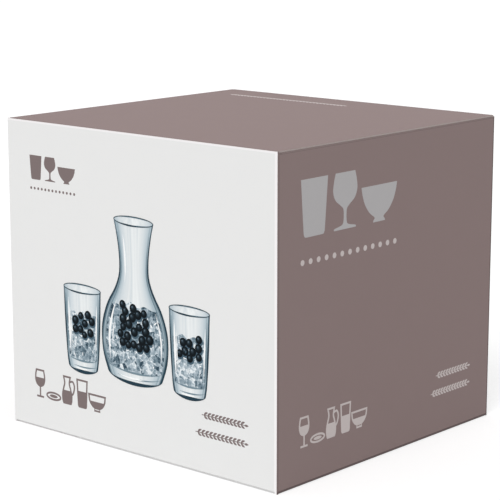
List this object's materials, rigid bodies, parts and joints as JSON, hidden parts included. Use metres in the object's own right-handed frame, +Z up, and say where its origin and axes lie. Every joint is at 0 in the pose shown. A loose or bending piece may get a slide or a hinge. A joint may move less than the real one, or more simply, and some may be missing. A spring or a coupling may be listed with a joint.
{
  "type": "printed folding carton",
  "caption": "Upright printed gift carton folded from one board blank, with a hinged tuck-in lid, dust flaps and a crash-lock base.",
  "frame": {"origin": "middle of the closed carton's base, on the surface it stands on", "axes": "+X along the carton's width, to the right of someone facing the front panel; +Y from the front panel to the back panel; +Z up"},
  "size_m": [0.22, 0.21, 0.195],
  "materials": {
    "printed_board": "matt offset print on grey-core folding board, white front and back panels",
    "printed_board_lid": "matt offset print on grey-core folding board"
  },
  "bodies": {
    "carton_body": {"carton_body": "printed_board"},
    "lid": {"lid": "printed_board_lid"}
  },
  "joints": [
    {"name": "lid_hinge", "type": "hinge", "parent": "carton_body", "child": "lid", "pos_m": [0, 0.1046, 0.1946], "axis": [-1, 0, 0], "range_deg": [0, 175]}
  ]
}
